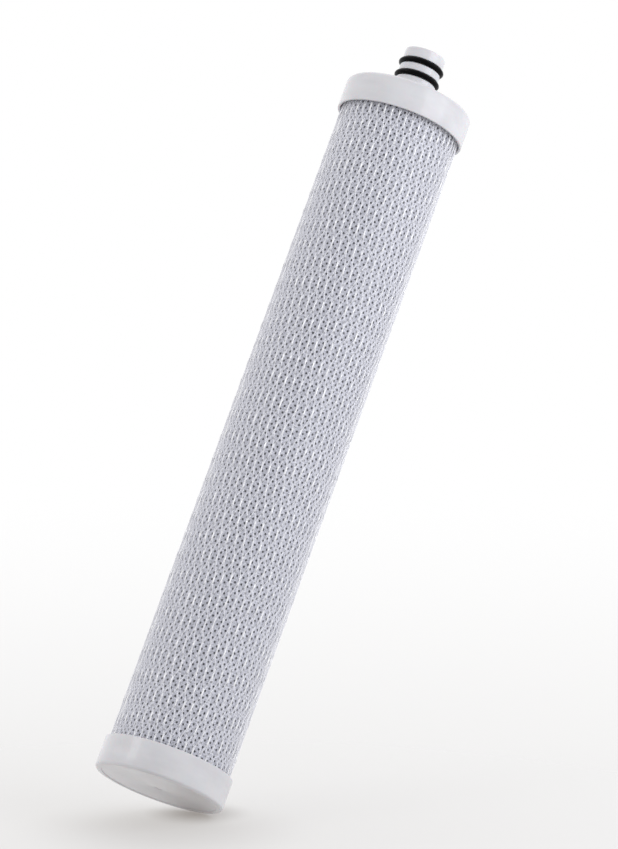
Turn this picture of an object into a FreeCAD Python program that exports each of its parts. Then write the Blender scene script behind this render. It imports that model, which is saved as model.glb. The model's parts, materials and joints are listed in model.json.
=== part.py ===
import FreeCAD, Part
import os

# A drop-in carbon-block water filter cartridge: a hollow block of bonded carbon in a nonwoven
# wrap and a sleeve of diamond netting, glued between two moulded end caps. The upper cap carries
# a hollow spigot with two O-rings; the lower cap is closed.
# Millimetres. The cartridge stands on the lower cap's foot ring, with its axis on +Z and the
# origin at the centre of that ring, on the surface it stands on.

# Filter media
block_length = 277.0            # carbon block, between the two beds of adhesive
block_diameter = 44.0           # carbon block, outside
outer_wrap_thickness = 0.4      # nonwoven wound round the block
inner_wrap_thickness = 0.3      # nonwoven lining of the block's bore
netting_thickness = 1.30        # two crossing layers of strands

# End caps
cap_height = 12.0               # over the skirt, both caps
skirt_wall = 1.0
skirt_clearance = 0.30          # between the netting and the skirt, filled by the adhesive near the end
deck_thickness = 2.4            # flat top of the upper cap
floor_thickness = 2.2           # flat bottom of the lower cap, above its recess
foot_recess_depth = 0.6         # shallow dish moulded in the underside
foot_ring_width = 1.4           # flat of the foot ring, inside the rounded edge
deck_edge_radius = 1.5
foot_edge_radius = 1.2
skirt_mouth_radius = 0.3
gate_dimple_radius = 2.0        # dimple that keeps the moulding gate's stub off the surface
gate_dimple_depth = 0.5

# Outlet spigot and its two O-rings
outlet_bore_diameter = 9.0
spigot_wall = 2.5               # behind the grooves
groove_depth = 1.0
groove_side_clearance = 0.3     # on each side of an O-ring
o_ring_section = 2.0
root_length = 7.45              # from the deck to the lower groove
land_length = 2.75              # between the two grooves
nose_length = 4.2               # from the upper groove to the tip
nose_edge_radius = 0.6
bore_edge_radius = 0.4
root_fillet_radius = 1.0

# Locating boss inside the upper cap, and plug inside the lower cap
boss_wall = 1.3
boss_clearance = 0.15           # between the boss or plug and the lining of the bore
boss_length = 8.0               # below the deck
plug_length = 8.0               # above the floor
plug_wall = 1.6                 # the plug is a cup, open upwards, so that it cools evenly
boss_edge_radius = 0.5

# Hot-melt adhesive
bed_thickness = 1.5
bed_upstand = 3.0               # squeezed up between the netting and the skirt

# Radii, from the axis outwards
bore_radius = outlet_bore_diameter / 2
boss_radius = bore_radius + boss_wall
lining_radius = boss_radius + boss_clearance
block_bore_radius = lining_radius + inner_wrap_thickness
block_radius = block_diameter / 2
wrap_radius = block_radius + outer_wrap_thickness
netting_radius = wrap_radius + netting_thickness
skirt_inner_radius = netting_radius + skirt_clearance
cap_radius = skirt_inner_radius + skirt_wall
groove_radius = bore_radius + spigot_wall
spigot_radius = groove_radius + groove_depth

# Heights, from the foot upwards
floor_level = foot_recess_depth + floor_thickness
block_bottom = floor_level + bed_thickness
block_top = block_bottom + block_length
deck_underside = block_top + bed_thickness
deck_level = deck_underside + deck_thickness
groove_width = o_ring_section + 2 * groove_side_clearance
lower_groove_bottom = deck_level + root_length
upper_groove_bottom = lower_groove_bottom + groove_width + land_length
spigot_top = upper_groove_bottom + groove_width + nose_length

# A cutting tool runs this far past the surface it opens
overrun = 1.0


def disc(radius, bottom, top):
    """A round solid on the axis."""
    return Part.makeCylinder(radius, top - bottom, FreeCAD.Vector(0, 0, bottom))


def tube(inner_radius, outer_radius, bottom, top):
    """A round solid with a straight hole through it."""
    hole = disc(inner_radius, bottom - overrun, top + overrun)
    return disc(outer_radius, bottom, top).cut(hole)


def rounded(solid, radius, level, amount):
    """Round the circular edge that has this radius and lies at this height."""
    chosen = []
    for edge in solid.Edges:
        curve = edge.Curve
        if not isinstance(curve, Part.Circle):
            continue
        if abs(curve.Radius - radius) < 0.001 and abs(curve.Center.z - level) < 0.001:
            chosen.append(edge)
    return solid.makeFillet(amount, chosen)


def upper_end_cap():
    """Deck with a skirt outside, a locating boss below and the grooved outlet spigot above."""
    skirt_mouth = deck_level - cap_height
    shell = disc(cap_radius, skirt_mouth, deck_level)
    shell = shell.cut(disc(skirt_inner_radius, skirt_mouth - overrun, deck_underside))
    shell = rounded(shell, cap_radius, deck_level, deck_edge_radius)
    shell = rounded(shell, cap_radius, skirt_mouth, skirt_mouth_radius)
    shell = rounded(shell, skirt_inner_radius, skirt_mouth, skirt_mouth_radius)
    boss = disc(boss_radius, deck_underside - boss_length, deck_underside)
    boss = rounded(boss, boss_radius, deck_underside - boss_length, boss_edge_radius)
    spigot = disc(spigot_radius, deck_level, spigot_top)
    cap = shell.fuse([boss, spigot]).removeSplitter()
    cap = rounded(cap, spigot_radius, deck_level, root_fillet_radius)
    cap = rounded(cap, spigot_radius, spigot_top, nose_edge_radius)
    for bottom in (lower_groove_bottom, upper_groove_bottom):
        cap = cap.cut(tube(groove_radius, spigot_radius + overrun, bottom, bottom + groove_width))
    cap = cap.cut(disc(bore_radius, deck_underside - boss_length - overrun, spigot_top + overrun))
    return rounded(cap, bore_radius, spigot_top, bore_edge_radius)


def lower_end_cap():
    """Closed floor on a foot ring, with a skirt outside and a hollow locating plug inside."""
    shell = disc(cap_radius, 0, cap_height)
    shell = shell.cut(disc(skirt_inner_radius, floor_level, cap_height + overrun))
    shell = rounded(shell, cap_radius, 0, foot_edge_radius)
    shell = rounded(shell, cap_radius, cap_height, skirt_mouth_radius)
    shell = rounded(shell, skirt_inner_radius, cap_height, skirt_mouth_radius)
    recess_radius = cap_radius - foot_edge_radius - foot_ring_width
    shell = shell.cut(disc(recess_radius, -overrun, foot_recess_depth))
    dimple_top = foot_recess_depth + gate_dimple_depth
    shell = shell.cut(disc(gate_dimple_radius, foot_recess_depth - overrun, dimple_top))
    plug_top = floor_level + plug_length
    plug = disc(boss_radius, floor_level, plug_top)
    plug = rounded(plug, boss_radius, plug_top, boss_edge_radius)
    plug = plug.cut(disc(boss_radius - plug_wall, floor_level, plug_top + overrun))
    return shell.fuse(plug).removeSplitter()


def o_ring(groove_bottom):
    """A round-section ring stretched on the bottom of its groove, in the middle of its width."""
    middle = groove_bottom + groove_width / 2
    section_radius = o_ring_section / 2
    return Part.makeTorus(groove_radius + section_radius, section_radius, FreeCAD.Vector(0, 0, middle))


def adhesive_bed(face, towards_block):
    """Hot melt between a cap and the media, with an upstand squeezed out along the skirt."""
    levels = sorted((face, face + towards_block * bed_thickness))
    bed = tube(boss_radius, skirt_inner_radius, levels[0], levels[1])
    block_face = face + towards_block * bed_thickness
    levels = sorted((block_face, block_face + towards_block * bed_upstand))
    upstand = tube(netting_radius, skirt_inner_radius, levels[0], levels[1])
    return bed.fuse(upstand).removeSplitter()


sub_parts = {
    "top_end_cap": upper_end_cap(),
    "bottom_end_cap": lower_end_cap(),
    "lower_o_ring": o_ring(lower_groove_bottom),
    "upper_o_ring": o_ring(upper_groove_bottom),
    "outer_netting": tube(wrap_radius, netting_radius, block_bottom, block_top),
    "outer_wrap": tube(block_radius, wrap_radius, block_bottom, block_top),
    "carbon_block": tube(block_bore_radius, block_radius, block_bottom, block_top),
    "inner_wrap": tube(lining_radius, block_bore_radius, block_bottom, block_top),
    "top_adhesive": adhesive_bed(deck_underside, -1),
    "bottom_adhesive": adhesive_bed(floor_level, 1),
}

os.makedirs("parts", exist_ok=True)
for name, solid in sub_parts.items():
    solid.exportStep("parts/" + name + ".step")
    print(name, solid.ShapeType, len(solid.Solids), solid.isValid(), round(solid.Volume, 1))
print("overall length", round(spigot_top, 2), "cap diameter", round(2 * cap_radius, 2))
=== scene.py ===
import json
import math

import bpy
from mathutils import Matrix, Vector, noise


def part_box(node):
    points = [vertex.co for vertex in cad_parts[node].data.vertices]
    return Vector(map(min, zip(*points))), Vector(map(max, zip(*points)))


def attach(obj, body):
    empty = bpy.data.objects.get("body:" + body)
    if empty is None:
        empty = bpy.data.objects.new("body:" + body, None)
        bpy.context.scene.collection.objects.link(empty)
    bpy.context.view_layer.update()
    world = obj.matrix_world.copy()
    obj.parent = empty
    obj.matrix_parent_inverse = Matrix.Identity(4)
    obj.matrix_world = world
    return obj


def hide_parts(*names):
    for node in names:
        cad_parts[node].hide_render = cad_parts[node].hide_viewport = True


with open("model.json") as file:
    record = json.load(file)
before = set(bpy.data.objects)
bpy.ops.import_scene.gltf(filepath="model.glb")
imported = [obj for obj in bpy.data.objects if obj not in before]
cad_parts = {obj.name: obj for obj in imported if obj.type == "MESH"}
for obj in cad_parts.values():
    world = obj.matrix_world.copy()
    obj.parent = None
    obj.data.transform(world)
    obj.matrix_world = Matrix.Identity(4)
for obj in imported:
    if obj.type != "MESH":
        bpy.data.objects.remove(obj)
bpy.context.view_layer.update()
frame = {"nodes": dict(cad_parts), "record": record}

mm = 0.001


# Both end caps: white polypropylene, injection-moulded. The upper one is a deck with a skirt that goes
# over the media, a locating boss below and a hollow spigot above, cut with two grooves for the O-rings.
facets = 160
round_segments = 6
deck_edge_radius = 1.5 * mm
skirt_mouth_radius = 0.3 * mm
spigot_root_radius = 1.0 * mm
nose_edge_radius = 0.6 * mm
bore_edge_radius = 0.4 * mm
groove_lip_radius = 0.12 * mm
groove_side_clearance = 0.3 * mm
spigot_proud_of_groove = 1.0 * mm
boss_wall = 1.3 * mm
boss_length = 8.0 * mm
skirt_wall = 1.0 * mm
smooth_angle = math.radians(30)
merge_distance = 0.001 * mm
corner_tolerance = 0.004 * mm


class Signal:
    """A number on its way through a material; arithmetic on it adds Math nodes."""

    def __init__(self, tree, socket):
        self.tree = tree
        self.socket = socket

    def math(self, operation, *values):
        node = self.tree.nodes.new("ShaderNodeMath")
        node.operation = operation
        for slot, value in zip(node.inputs, values):
            connect(self.tree, slot, value)
        return Signal(self.tree, node.outputs[0])

    def __add__(self, other):
        return self.math("ADD", self, other)

    def __radd__(self, other):
        return self.math("ADD", other, self)

    def __sub__(self, other):
        return self.math("SUBTRACT", self, other)

    def __rsub__(self, other):
        return self.math("SUBTRACT", other, self)

    def __mul__(self, other):
        return self.math("MULTIPLY", self, other)

    def __rmul__(self, other):
        return self.math("MULTIPLY", other, self)

    def __truediv__(self, other):
        return self.math("DIVIDE", self, other)

    def smooth(self, low, high):
        """0 below low and 1 above high, with a soft step between; low may be the larger."""
        node = self.tree.nodes.new("ShaderNodeMapRange")
        node.interpolation_type = "SMOOTHSTEP"
        for name, value in (("Value", self), ("From Min", low), ("From Max", high)):
            connect(self.tree, node.inputs[name], value)
        return Signal(self.tree, node.outputs[0])


def connect(tree, slot, value):
    """Link a socket or a signal to a slot, or set the slot to a plain value."""
    if isinstance(value, Signal):
        tree.links.new(value.socket, slot)
    elif isinstance(value, bpy.types.NodeSocket):
        tree.links.new(value, slot)
    else:
        slot.default_value = value


class Finish:
    """A material built round one Principled shader."""

    def __init__(self, name, **constants):
        self.material = bpy.data.materials.new(name)
        self.material.use_nodes = True
        self.tree = self.material.node_tree
        self.shader = self.tree.nodes["Principled BSDF"]
        self.feed(**constants)

    def feed(self, **values):
        """Give the shader's sockets their values; Base_Color stands for Base Color."""
        for name, value in values.items():
            connect(self.tree, self.shader.inputs[name.replace("_", " ")], value)

    def node(self, kind, settings=None, sockets=None, output=0):
        """Any other node: its settings first, then its sockets' values or links."""
        node = self.tree.nodes.new("ShaderNode" + kind)
        for name, value in (settings or {}).items():
            setattr(node, name, value)
        for name, value in (sockets or {}).items():
            connect(self.tree, node.inputs[name], value)
        return Signal(self.tree, node.outputs[output])

    def place(self):
        """Where a point of the piece is, in metres."""
        return self.node("TexCoord", output="Object")

    def grain(self, place, scale, detail=2.0, stretch=(1, 1, 1)):
        """Noise between 0 and 1 with this many cells a metre."""
        spot = self.node("Mapping", {}, {"Vector": place, "Scale": stretch})
        return self.node("TexNoise", {}, {"Vector": spot, "Scale": scale, "Detail": detail}, "Fac")

    def blend(self, amount, first, second):
        """Mix two colours."""
        mix = self.tree.nodes.new("ShaderNodeMix")
        mix.data_type = "RGBA"
        for slot, value in ((0, amount), (6, first), (7, second)):
            connect(self.tree, mix.inputs[slot], value)
        return Signal(self.tree, mix.outputs[2])

    def relief(self, height, depth):
        """Feed the shader a bump of this height map, so many metres deep."""
        bump = self.node("Bump", {}, {"Height": height, "Distance": depth, "Strength": 1.0})
        self.feed(Normal=bump)


def on_its_own(piece, name):
    """Name a new piece, and leave its place in its mesh."""
    piece.name = name
    piece.data.name = name
    bpy.ops.object.select_all(action="DESELECT")
    piece.select_set(True)
    bpy.context.view_layer.objects.active = piece
    bpy.ops.object.transform_apply(location=True, rotation=True, scale=True)
    return piece


def select_where(piece, wanted):
    """In edit mode, select the vertices whose place passes the test, and the edges between them."""
    bpy.ops.mesh.select_all(action="DESELECT")
    bpy.ops.object.mode_set(mode="OBJECT")
    for vertex in piece.data.vertices:
        vertex.select = wanted(vertex.co)
    for edge in piece.data.edges:
        edge.select = all(piece.data.vertices[i].select for i in edge.vertices)
    bpy.ops.object.mode_set(mode="EDIT")


def turned(name, outline, closed=True):
    """Turn corners of (radius, level, rounding) about the axis, pulling one ring after another."""
    bpy.ops.object.select_all(action="DESELECT")
    radius, level, _ = outline[0]
    bpy.ops.mesh.primitive_circle_add(vertices=facets, radius=radius, location=(0, 0, level))
    piece = on_its_own(bpy.context.object, name)
    bpy.ops.object.mode_set(mode="EDIT")
    bpy.ops.mesh.select_all(action="SELECT")
    for corner in outline[1:] + (outline[:1] if closed else []):
        lift = (0, 0, corner[1] - level)
        bpy.ops.mesh.extrude_region_move(TRANSFORM_OT_translate={"value": lift})
        share = corner[0] / radius
        bpy.ops.transform.resize(value=(share, share, 1), center_override=(0, 0, 0))
        radius, level = corner[0], corner[1]
    if not closed:
        bpy.ops.mesh.select_all(action="SELECT")
        bpy.ops.mesh.region_to_loop()
        bpy.ops.mesh.fill_holes(sides=0)
    bpy.ops.mesh.select_all(action="SELECT")
    bpy.ops.mesh.remove_doubles(threshold=merge_distance)
    bpy.ops.mesh.normals_make_consistent(inside=False)
    for radius, level, rounding in outline:
        if rounding:
            select_where(
                piece,
                lambda co: abs(math.hypot(co.x, co.y) - radius) < corner_tolerance
                and abs(co.z - level) < corner_tolerance,
            )
            bpy.ops.mesh.bevel(offset=rounding, segments=round_segments, affect="EDGES")
    bpy.ops.object.mode_set(mode="OBJECT")
    bpy.ops.object.shade_smooth_by_angle(angle=smooth_angle)
    return piece


def white_polypropylene():
    """Satin moulded plastic with faint flow marks and a fine haze."""
    finish = Finish("white_polypropylene", Specular_IOR_Level=0.28, Coat_Weight=0.16)
    finish.feed(Coat_Roughness=0.07, Subsurface_Weight=0.08, Subsurface_Scale=0.002)
    place = finish.place()
    flow = finish.grain(place, 60, 3.0, (1, 1, 2.5))
    haze = finish.grain(place, 900, 4.0)
    shade = finish.blend(flow.smooth(0.3, 0.7), (0.575, 0.573, 0.590, 1), (0.635, 0.633, 0.650, 1))
    finish.feed(Base_Color=shade, Roughness=0.22 + haze * 0.06)
    finish.relief(flow * 0.6 + haze * 0.12, 0.05 * mm)
    return finish.material


record_mounts = {mount["name"]: mount for mount in frame["record"]["mounts"]}
cap_plastic = white_polypropylene()
top_low, top_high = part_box("top_end_cap")
ring_low, ring_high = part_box("lower_o_ring")
upper_ring_low, upper_ring_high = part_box("upper_o_ring")
cap_radius = top_high.x
skirt_inner_radius = cap_radius - skirt_wall
bore_radius = record_mounts["outlet_bore"]["dims"]["r_mm"] * mm
boss_radius = bore_radius + boss_wall
deck_level = record_mounts["deck"]["pos_m"][2]
deck_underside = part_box("top_adhesive")[1].z
boss_end = deck_underside - boss_length
ring_section = ring_high.z - ring_low.z
groove_radius = ring_high.x - ring_section
spigot_radius = groove_radius + spigot_proud_of_groove
lower_groove = (ring_low.z - groove_side_clearance, ring_high.z + groove_side_clearance)
upper_groove = (upper_ring_low.z - groove_side_clearance, upper_ring_high.z + groove_side_clearance)

upper_cap_outline = [(bore_radius, top_high.z, bore_edge_radius)]
upper_cap_outline += [(spigot_radius, top_high.z, nose_edge_radius)]
for groove_bottom, groove_top in (upper_groove, lower_groove):
    upper_cap_outline += [(spigot_radius, groove_top, groove_lip_radius)]
    upper_cap_outline += [(groove_radius, groove_top, 0), (groove_radius, groove_bottom, 0)]
    upper_cap_outline += [(spigot_radius, groove_bottom, groove_lip_radius)]
upper_cap_outline += [(spigot_radius, deck_level, spigot_root_radius)]
upper_cap_outline += [(cap_radius, deck_level, deck_edge_radius)]
upper_cap_outline += [(cap_radius, top_low.z, skirt_mouth_radius)]
upper_cap_outline += [(skirt_inner_radius, top_low.z, skirt_mouth_radius)]
upper_cap_outline += [(skirt_inner_radius, deck_underside, 0), (boss_radius, deck_underside, 0)]
upper_cap_outline += [(boss_radius, boss_end, 0), (bore_radius, boss_end, 0)]
top_cap = turned("top_cap", upper_cap_outline)
top_cap.data.materials.append(cap_plastic)
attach(top_cap, "root")
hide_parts("top_end_cap")


# The lower cap is closed: a floor with a shallow dish and a gate dimple underneath, a foot ring round
# the dish, a skirt round the media, and a hollow plug that centres the block.
foot_edge_radius = 1.2 * mm
foot_ring_width = 1.4 * mm
dish_depth = 0.25 * mm
dish_corner_radius = 0.1 * mm
dish_edge_radius = 0.14 * mm
gate_dimple_radius = 1.5 * mm
gate_dimple_depth = 0.11 * mm
plug_length = 8.0 * mm
plug_wall = 1.6 * mm

floor_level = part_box("bottom_adhesive")[0].z
cap_height = deck_level - top_low.z
dish_radius = cap_radius - foot_edge_radius - foot_ring_width
plug_top = floor_level + plug_length
dimple_level = dish_depth + gate_dimple_depth
lower_cap_outline = [
    (gate_dimple_radius, dimple_level, 0),
    (gate_dimple_radius, dish_depth, dish_corner_radius),
    (dish_radius, dish_depth, dish_corner_radius),
    (dish_radius, 0, dish_edge_radius),
    (cap_radius, 0, foot_edge_radius),
    (cap_radius, cap_height, skirt_mouth_radius),
    (skirt_inner_radius, cap_height, skirt_mouth_radius),
    (skirt_inner_radius, floor_level, 0),
    (boss_radius, floor_level, 0),
    (boss_radius, plug_top, 0),
    (boss_radius - plug_wall, plug_top, 0),
    (boss_radius - plug_wall, floor_level, 0),
]
bottom_cap = turned("bottom_cap", lower_cap_outline, closed=False)
bottom_cap.data.materials.append(cap_plastic)
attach(bottom_cap, "root")
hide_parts("bottom_end_cap")


# Two O-rings of black nitrile rubber, stretched into the spigot's grooves. Each carries the faint line
# of its mould's parting round the outside, and a film of grease.
flash_height = 0.03 * mm
flash_width = 0.06 * mm
flash_crest = 0.01 * mm
ring_sides = 32
ring_smooth_angle = math.radians(40)


def nitrile_rubber():
    """Black rubber with a dusting of fine pores and smears of grease."""
    finish = Finish("nitrile_rubber", Specular_IOR_Level=0.06)
    place = finish.place()
    pores = finish.grain(place, 4000, 3.0)
    grease = finish.grain(place, 350, 2.0).smooth(0.4, 0.65)
    finish.feed(Base_Color=finish.blend(pores, (0.001, 0.001, 0.001, 1), (0.003, 0.003, 0.0035, 1)))
    finish.feed(Roughness=0.36 - grease * 0.18 + pores * 0.06)
    finish.relief(pores, 0.01 * mm)
    return finish.material


def rubber_ring(name, node):
    """One O-ring in the place of its node."""
    low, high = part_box(node)
    section = (high.z - low.z) / 2
    middle = (high.z + low.z) / 2
    middle_reach = high.x - section
    bpy.ops.object.select_all(action="DESELECT")
    bpy.ops.mesh.primitive_torus_add(
        major_radius=middle_reach,
        minor_radius=section,
        major_segments=facets,
        minor_segments=ring_sides,
        location=(0, 0, middle),
    )
    ring = on_its_own(bpy.context.object, name)
    bpy.ops.object.mode_set(mode="EDIT")
    outermost = high.x - merge_distance
    select_where(ring, lambda co: math.hypot(co.x, co.y) > outermost)
    bpy.ops.mesh.bevel(offset=flash_width, segments=2, affect="EDGES")
    bpy.ops.object.mode_set(mode="OBJECT")
    for vertex in ring.data.vertices:
        reach = math.hypot(vertex.co.x, vertex.co.y)
        if reach > middle_reach and abs(vertex.co.z - middle) < flash_crest:
            vertex.co.x *= 1 + flash_height / reach
            vertex.co.y *= 1 + flash_height / reach
    bpy.ops.object.shade_smooth_by_angle(angle=ring_smooth_angle)
    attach(ring, "root")
    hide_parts(node)
    return ring


rubber = nitrile_rubber()
for ring_name, ring_node in (("upper_ring", "upper_o_ring"), ("lower_ring", "lower_o_ring")):
    rubber_ring(ring_name, ring_node).data.materials.append(rubber)


# The netting: extruded polyethylene strands in two layers that lean opposite ways round the media and
# are welded where they cross. It is pulled tight lengthwise, so its diamonds are long and narrow.
strands_each_way = 48
diamond_length = 16.1 * mm
strand_radius = 0.26 * mm
strand_sides = 6
rings_per_diamond = 12
straightening = 0.58
weld_lift = 0.14 * mm
weld_sharpness = 3
unevenness = 0.28
slip = 4.0 * mm
slip_shift = Vector((7, 3, 5))
wander_cells = 55
wander_stretch = 0.6
held_length = 10 * mm
layer_step = 0.06 * mm
clear_alpha = 0.28
weld_alpha = 0.72

net_low, net_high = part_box("outer_netting")
net_length = net_high.z - net_low.z
wrap_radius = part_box("outer_wrap")[1].x
strand_centre_radius = net_high.x - strand_radius - weld_lift - layer_step / 2
strand_spacing = 2 * math.pi / strands_each_way
lean = strand_spacing / diamond_length


def turn_about_axis(co, angle):
    """Move a point round the cartridge."""
    x, y = co.x, co.y
    co.x = x * math.cos(angle) - y * math.sin(angle)
    co.y = x * math.sin(angle) + y * math.cos(angle)


def strand_layer(name, centre_radius, hand):
    """One layer: a strand swept up the media, brought near upright at its welds, and copied."""
    bpy.ops.object.select_all(action="DESELECT")
    bpy.ops.mesh.primitive_circle_add(
        vertices=strand_sides, radius=strand_radius, location=(centre_radius, 0, net_low.z)
    )
    layer = on_its_own(bpy.context.object, name)
    sweep = layer.modifiers.new("sweep", "SCREW")
    sweep.angle = hand * lean * net_length
    sweep.screw_offset = net_length
    sweep.steps = round(net_length / diamond_length * rings_per_diamond)
    sweep.render_steps = sweep.steps
    bpy.ops.object.modifier_apply(modifier=sweep.name)
    bpy.ops.object.mode_set(mode="EDIT")
    bpy.ops.mesh.select_all(action="SELECT")
    bpy.ops.mesh.fill_holes(sides=0)
    bpy.ops.mesh.select_all(action="SELECT")
    bpy.ops.mesh.normals_make_consistent(inside=False)
    bpy.ops.object.mode_set(mode="OBJECT")
    weld_spacing = diamond_length / 2
    wave = 2 * math.pi / weld_spacing
    weld = layer.data.attributes.new("weld", "FLOAT", "POINT")
    for vertex, mark in zip(layer.data.vertices, weld.data):
        along = vertex.co.z - net_low.z
        near_weld = 0.5 + 0.5 * math.cos(wave * along)
        mark.value = near_weld
        lift = 1 + weld_lift * near_weld ** weld_sharpness / centre_radius
        vertex.co.x *= lift
        vertex.co.y *= lift
        turn_about_axis(vertex.co, -hand * lean * straightening * math.sin(wave * along) / wave)
    bpy.ops.object.empty_add(rotation=(0, 0, strand_spacing))
    pivot = bpy.context.object
    bpy.ops.object.select_all(action="DESELECT")
    layer.select_set(True)
    bpy.context.view_layer.objects.active = layer
    copies = layer.modifiers.new("copies", "ARRAY")
    copies.count = strands_each_way
    copies.use_relative_offset = False
    copies.use_object_offset = True
    copies.offset_object = pivot
    bpy.ops.object.modifier_apply(modifier=copies.name)
    bpy.data.objects.remove(pivot)
    for vertex in layer.data.vertices:
        spot = Vector((vertex.co.x, vertex.co.y, vertex.co.z * wander_stretch)) * wander_cells
        from_end = min(vertex.co.z - net_low.z, net_high.z - vertex.co.z, held_length) / held_length
        vertex.co.z += noise.noise(spot + slip_shift) * slip * from_end
        turn_about_axis(vertex.co, noise.noise(spot) * unevenness * strand_spacing)
    bpy.ops.object.shade_smooth()
    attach(layer, "root")
    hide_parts("outer_netting")
    return layer


def netting_polyethylene():
    """Clear strands with a soft gloss. Where they are welded they are milkier and whiter, partly from the
    welds' own milkiness and partly as a painted highlight, which is stronger on some welds than on others.
    """
    finish = Finish("netting_polyethylene", Specular_IOR_Level=0.8, Coat_Weight=0.4, Coat_Roughness=0.12)
    place = finish.place()
    cloud = finish.grain(place, 380, 3.0).smooth(0.38, 0.6)
    weld = finish.node("Attribute", {"attribute_name": "weld"}, output="Fac")
    # Partly painted highlight: at the welds the strands get whiter and more opaque. This is in part their
    # real milkiness and in part a stand-in for the bright highlights on the welded joints, and the cloud
    # makes it stronger on some welds.
    weld_milk_and_highlight = weld.smooth(0.32, 1.0) * (0.1 + cloud * 0.9)
    finish.feed(Base_Color=finish.blend(weld_milk_and_highlight, (0.93, 0.93, 0.96, 1), (0.97, 0.97, 0.98, 1)))
    finish.feed(Roughness=0.32 - weld_milk_and_highlight * 0.1)
    finish.feed(Alpha=clear_alpha + weld_milk_and_highlight * weld_alpha)
    finish.relief(finish.grain(place, 1800, 2.0), 0.02 * mm)
    return finish.material


net_plastic = netting_polyethylene()
inner_strands = strand_layer("netting_right_strands", strand_centre_radius - layer_step / 2, 1)
outer_strands = strand_layer("netting_left_strands", strand_centre_radius + layer_step / 2, -1)
inner_strands.data.materials.append(net_plastic)
outer_strands.data.materials.append(net_plastic)


# The outer wrap: one sheet of spunbond polypropylene, wound once round the block with an overlap at the
# back. Rows of pressed points bond its fibres, and the black carbon shows through them.
sheet_thickness = 0.18 * mm
sheet_slack = 0.02 * mm
sheet_columns = 240
sheet_rows = 24
seam_angle = math.radians(75)
overlap = 10.0 * mm
climb = 3.0 * mm
bond_pitch = 2.455 * mm
bond_row_spacing = 1.32 * mm
bond_width = 0.76 * mm
bond_height = 0.92 * mm
bond_slant = math.radians(1.2)
raggedness = 0.5
fibre_directions = (12, 71, 128)
carbon_through_wrap = (0.03, 0.03, 0.034, 1)

block_low, block_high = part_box("carbon_block")
first_turn_radius = block_high.x + sheet_thickness / 2 + sheet_slack
second_turn_radius = wrap_radius - sheet_thickness / 2
wrap_length = block_high.z - block_low.z
wrap_width = 2 * math.pi * first_turn_radius + overlap


def wound_sheet(name, width, length, radius, outer_radius, start_angle):
    """A flat grid with its UV map, rolled into a tube whose end climbs over its own start."""
    bpy.ops.object.select_all(action="DESELECT")
    bpy.ops.mesh.primitive_grid_add(x_subdivisions=sheet_columns, y_subdivisions=sheet_rows, size=1)
    sheet = bpy.context.object
    sheet.scale = (width, length, 1)
    on_its_own(sheet, name)
    once_round = 2 * math.pi * radius
    for vertex in sheet.data.vertices:
        along = vertex.co.x + width / 2
        level = vertex.co.y + (block_low.z + block_high.z) / 2
        rise = min(max((along - once_round + climb) / climb, 0), 1)
        reach = radius + (outer_radius - radius) * rise * rise * (3 - 2 * rise)
        angle = start_angle + along / radius
        vertex.co = (reach * math.cos(angle), reach * math.sin(angle), level)
    thick = sheet.modifiers.new("thickness", "SOLIDIFY")
    thick.thickness = sheet_thickness
    thick.offset = 0
    bpy.ops.object.modifier_apply(modifier=thick.name)
    bpy.ops.object.mode_set(mode="EDIT")
    bpy.ops.mesh.select_all(action="SELECT")
    bpy.ops.mesh.normals_make_consistent(inside=False)
    bpy.ops.object.mode_set(mode="OBJECT")
    bpy.ops.object.shade_smooth_by_angle(angle=smooth_angle)
    return sheet


def spunbond(name, width, length, dot_colour):
    """Random fine fibres pressed together in staggered points, thin and glossy, with the points in the
    given dark colour.
    """
    finish = Finish(name, Specular_IOR_Level=0.7, Sheen_Weight=0.6, Sheen_Roughness=0.3)
    flat = finish.node("UVMap")
    parts = finish.tree.nodes.new("ShaderNodeSeparateXYZ")
    connect(finish.tree, parts.inputs[0], flat)
    across = Signal(finish.tree, parts.outputs[0]) * width
    along = Signal(finish.tree, parts.outputs[1]) * length
    metres = finish.node("CombineXYZ", {}, {"X": across, "Y": along})
    column = (across * math.cos(bond_slant) + along * math.sin(bond_slant)) / bond_pitch
    row = (along * math.cos(bond_slant) - across * math.sin(bond_slant)) / (2 * bond_row_spacing)
    aside = column.math("PINGPONG", column, 0.5)
    above = row.math("PINGPONG", row, 0.5)
    wide = 2 * bond_pitch / bond_width
    tall = 4 * bond_row_spacing / bond_height

    def reach(x, y):
        return x.math("SQRT", x * wide * x * wide + y * tall * y * tall)

    near = reach(aside, above)
    far = reach(0.5 - aside, 0.5 - above)
    ragged = finish.grain(metres, 2600, 2.0) * raggedness
    distance = near.math("MINIMUM", near, far) + ragged - raggedness / 2
    point = distance.smooth(1.12, 0.82)
    fibres = None
    for angle in fibre_directions:
        turned_spot = finish.node(
            "Mapping",
            {"vector_type": "TEXTURE"},
            {"Vector": metres, "Rotation": (0, 0, math.radians(angle)), "Scale": (8, 1, 1)},
        )
        fine = {"Vector": turned_spot, "Scale": 9000.0, "Detail": 1.0}
        strand = finish.node("TexNoise", {}, fine, "Fac")
        fibres = strand if fibres is None else fibres.math("MAXIMUM", fibres, strand)
    cloud = finish.grain(metres, 700, 3.0).smooth(0.35, 0.7)
    fleck = finish.grain(metres, 2000, 2.0).smooth(0.4, 0.62)
    bright = fibres.smooth(0.5, 0.75) * 0.5 + fleck * 0.5 - cloud * 0.15
    web = finish.blend(bright, (0.365, 0.372, 0.42, 1), (0.88, 0.89, 0.97, 1))
    finish.feed(Base_Color=finish.blend(point, web, dot_colour))
    finish.feed(Roughness=0.48 - point * 0.15 + fleck * 0.1)
    finish.relief(fibres * 0.3 - point * 1.0, 0.12 * mm)
    return finish.material


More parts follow.
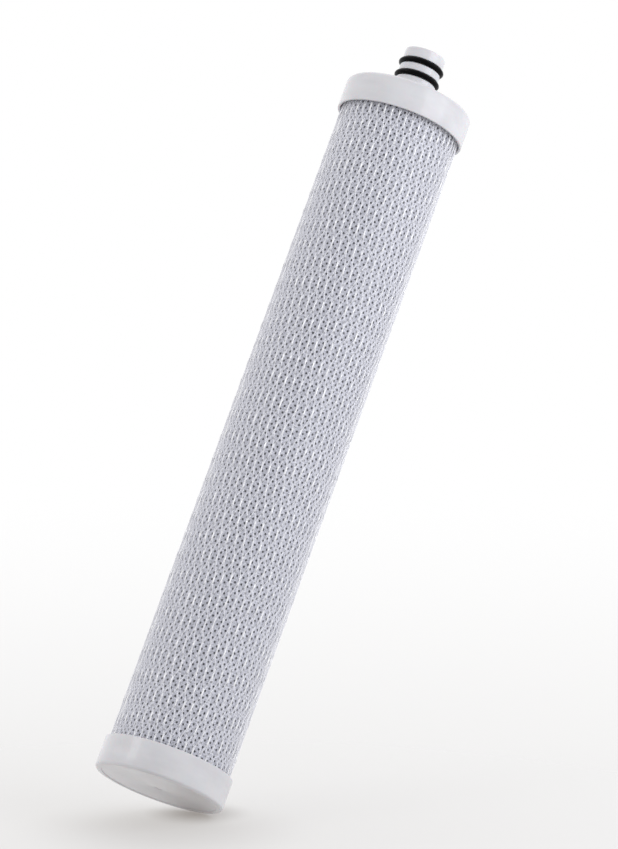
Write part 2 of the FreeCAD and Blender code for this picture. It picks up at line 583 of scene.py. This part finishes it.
outer_wrap = wound_sheet(
    "wound_wrap", wrap_width, wrap_length, first_turn_radius, second_turn_radius, seam_angle
)
wrap_cloth = spunbond("spunbond_wrap", wrap_width, wrap_length, carbon_through_wrap)
outer_wrap.data.materials.append(wrap_cloth)
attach(outer_wrap, "root")
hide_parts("outer_wrap")


# The carbon block, its lining and the two beds of hot melt are closed in by the caps and the wrap. They
# keep the shape that they are made to, with finishes of their own.


def sintered_carbon():
    """Matt black grains, pressed and sintered."""
    finish = Finish("sintered_carbon", Specular_IOR_Level=0.3)
    place = finish.place()
    grains = finish.node("TexVoronoi", {}, {"Vector": place, "Scale": 2600.0}, "Distance")
    dust = finish.grain(place, 900, 4.0)
    finish.feed(Base_Color=finish.blend(dust, (0.010, 0.010, 0.011, 1), (0.035, 0.035, 0.037, 1)))
    finish.feed(Roughness=0.75 + dust * 0.2)
    finish.relief(grains, 0.15 * mm)
    return finish.material


def hot_melt():
    """Milky adhesive with soft ripples from its squeezing out."""
    finish = Finish("hot_melt", Specular_IOR_Level=0.5, Subsurface_Weight=0.2, Subsurface_Scale=0.002)
    place = finish.place()
    ripple = finish.grain(place, 500, 2.0)
    finish.feed(Base_Color=finish.blend(ripple, (0.74, 0.70, 0.58, 1), (0.84, 0.81, 0.72, 1)))
    finish.feed(Roughness=0.3 + ripple * 0.15)
    finish.relief(ripple, 0.2 * mm)
    return finish.material


def lining_nonwoven():
    """Fine white fibres, flattened as the block was moulded round them."""
    finish = Finish("lining_nonwoven", Specular_IOR_Level=0.3, Sheen_Weight=0.3)
    place = finish.place()
    upright = finish.grain(place, 2200, 4.0, (1, 1, 0.12))
    across = finish.grain(place, 600, 4.0, (1, 1, 5))
    fibres = upright.math("MAXIMUM", upright, across)
    shade = finish.blend(fibres.smooth(0.45, 0.7), (0.55, 0.55, 0.57, 1), (0.82, 0.82, 0.84, 1))
    finish.feed(Base_Color=shade)
    finish.feed(Roughness=0.75 + across * 0.2)
    finish.relief(fibres, 0.1 * mm)
    return finish.material


def refinish(node, material):
    """Give a kept node its finish."""
    data = frame["nodes"][node].data
    data.materials.clear()
    data.materials.append(material)


melt = hot_melt()
refinish("carbon_block", sintered_carbon())
refinish("top_adhesive", melt)
refinish("bottom_adhesive", melt)
refinish("inner_wrap", lining_nonwoven())


# The floor the cartridge leans on, and the camera and lights of a white product shot. The cartridge
# stands upright here, so the floor tilts under the edge of its foot. The floor glows evenly, but its glow
# fades to a warm dark brown right round the foot, a painted contact shadow, and is dimmed in a soft patch
# ahead of the foot and to its left, a painted cast shadow; together they paint part of the shade there.
floor_up = Vector((-0.338, -0.373, 0.864)).normalized()
floor_forward = Vector((0.069, -0.925, -0.373))
floor_right = floor_forward.cross(floor_up) * -1
floor_size = 1.8
floor_reach = 0.9
fade_forward = 0.1
fade_power = 1.9
touch_gap = 0.2 * mm
touch = Vector((0.0167, 0.0175, 0)) - floor_up * touch_gap
touch_shade_reach = 0.022
front_shade_forward = 0.03
front_shade_left = 0.012
front_shade_inner = 0.01
front_shade_outer = 0.06
front_shade_glow = 0.68

bpy.ops.object.select_all(action="DESELECT")
bpy.ops.mesh.primitive_grid_add(x_subdivisions=2, y_subdivisions=2, size=floor_size)
floor = bpy.context.object
floor.name = "studio_floor"
floor.rotation_mode = "QUATERNION"
floor.rotation_quaternion = floor_up.to_track_quat("Z", "Y")
floor.location = touch + floor_forward * fade_forward
paper = Finish("floor_paper", Roughness=0.8, Specular_IOR_Level=0.0, Base_Color=(0.25, 0.256, 0.266, 1))
spread = paper.node("VectorMath", {"operation": "LENGTH"}, {0: paper.place()}, "Value")
back_side = paper.node("NewGeometry", output="Backfacing")
nearness = spread.math("MAXIMUM", 1 - spread / floor_reach, 0.0)
paper.feed(Alpha=nearness.math("POWER", nearness, fade_power) * (1 - back_side))
to_paper = floor.rotation_quaternion.inverted()
on_paper = to_paper @ (touch - floor.location)
in_front = on_paper + to_paper @ (floor_forward * front_shade_forward - floor_right * front_shade_left)


def away_from(spot):
    """How far a point of the paper is from a spot on it."""
    ends = {0: paper.place(), 1: spot}
    return paper.node("VectorMath", {"operation": "DISTANCE"}, ends, "Value")


# Painted shade: the paper's glow drops to 0.68 in a patch ahead of the foot and to its left, a painted cast
# shadow, and to a dark warm brown within 22 mm of the foot, a painted contact shadow. The cool base colour
# keeps the lit paper neutral, so the painted shade comes out warm.
front_painted_shadow_lift = away_from(in_front).smooth(front_shade_inner, front_shade_outer) * (1 - front_shade_glow)
glow_left_by_painted_shadow = away_from(on_paper).smooth(0.0, touch_shade_reach) * (front_shade_glow + front_painted_shadow_lift)
paper.feed(Emission_Color=paper.blend(glow_left_by_painted_shadow, (0.2, 0.14, 0.09, 1), (1.0, 0.965, 0.92, 1)))
paper.feed(Emission_Strength=0.52)
floor.data.materials.append(paper.material)


def soft_box(name, place, aim, size, power, colour):
    """A square studio light that faces a point."""
    data = bpy.data.lights.new(name, "AREA")
    data.size = size
    data.energy = power
    data.color = colour
    light = bpy.data.objects.new(name, data)
    light.location = place
    light.rotation_mode = "QUATERNION"
    light.rotation_quaternion = (Vector(aim) - Vector(place)).to_track_quat("-Z", "Y")
    bpy.context.scene.collection.objects.link(light)


soft_box(
    "key_light", place=(0.46, -0.44, 0.52), aim=(0, 0, 0.2), size=0.5, power=2.7, colour=(0.93, 0.95, 1.0)
)
soft_box(
    "left_light", place=(-0.90, -0.44, 0.25), aim=(0, 0, 0.1), size=0.28, power=0.9, colour=(1.0, 1.0, 0.98)
)

world = bpy.data.worlds.new("white_studio")
bpy.context.scene.world = world
world.use_nodes = True
sky = world.node_tree
sky.nodes.clear()
direction = sky.nodes.new("ShaderNodeTexCoord").outputs["Generated"]


def facing(aim):
    """How far a direction in the studio turns towards this one, from -1 to 1."""
    dot = sky.nodes.new("ShaderNodeVectorMath")
    dot.operation = "DOT_PRODUCT"
    connect(sky, dot.inputs[0], direction)
    connect(sky, dot.inputs[1], Vector(aim).normalized())
    return Signal(sky, dot.outputs["Value"])


even_glow = 0.95
dark_front = 0.42
left_glow = 0.2
right_glow = 0.16
top_glow = 0.19
front = (0.1, -0.97, 0.2)
back_left = (-0.8, 0.6, 0.1)
right_side = (0.93, 0.1, 0.1)
seen = sky.nodes.new("ShaderNodeBackground")
seen.inputs["Color"].default_value = (1, 1, 1, 1)
seen.inputs["Strength"].default_value = 1.0
glow = sky.nodes.new("ShaderNodeBackground")
glow.inputs["Color"].default_value = (0.985, 0.98, 1, 1)
shine = even_glow - facing(front).smooth(0.1, 1.0) * dark_front
shine = shine + facing(back_left).smooth(0.3, 0.95) * left_glow
shine = shine + facing(right_side).smooth(0.2, 0.95) * right_glow
shine = shine + facing(floor_up).smooth(0, 0.9) * top_glow
connect(sky, glow.inputs["Strength"], shine)
ray = sky.nodes.new("ShaderNodeLightPath")
choice = sky.nodes.new("ShaderNodeMixShader")
output = sky.nodes.new("ShaderNodeOutputWorld")
sky.links.new(ray.outputs["Is Camera Ray"], choice.inputs[0])
sky.links.new(glow.outputs[0], choice.inputs[1])
sky.links.new(seen.outputs[0], choice.inputs[2])
sky.links.new(choice.outputs[0], output.inputs["Surface"])

lens_data = bpy.data.cameras.new("camera")
lens_data.lens = 209.94
lens_data.clip_end = 20
camera = bpy.data.objects.new("camera", lens_data)
camera.location = (0.00635, -1.80468, -0.32863)
camera.rotation_euler = tuple(math.radians(a) for a in (105.7798, -19.2807, -5.3297))
bpy.context.scene.collection.objects.link(camera)
bpy.context.scene.camera = camera
bpy.context.scene.view_settings.view_transform = "Standard"
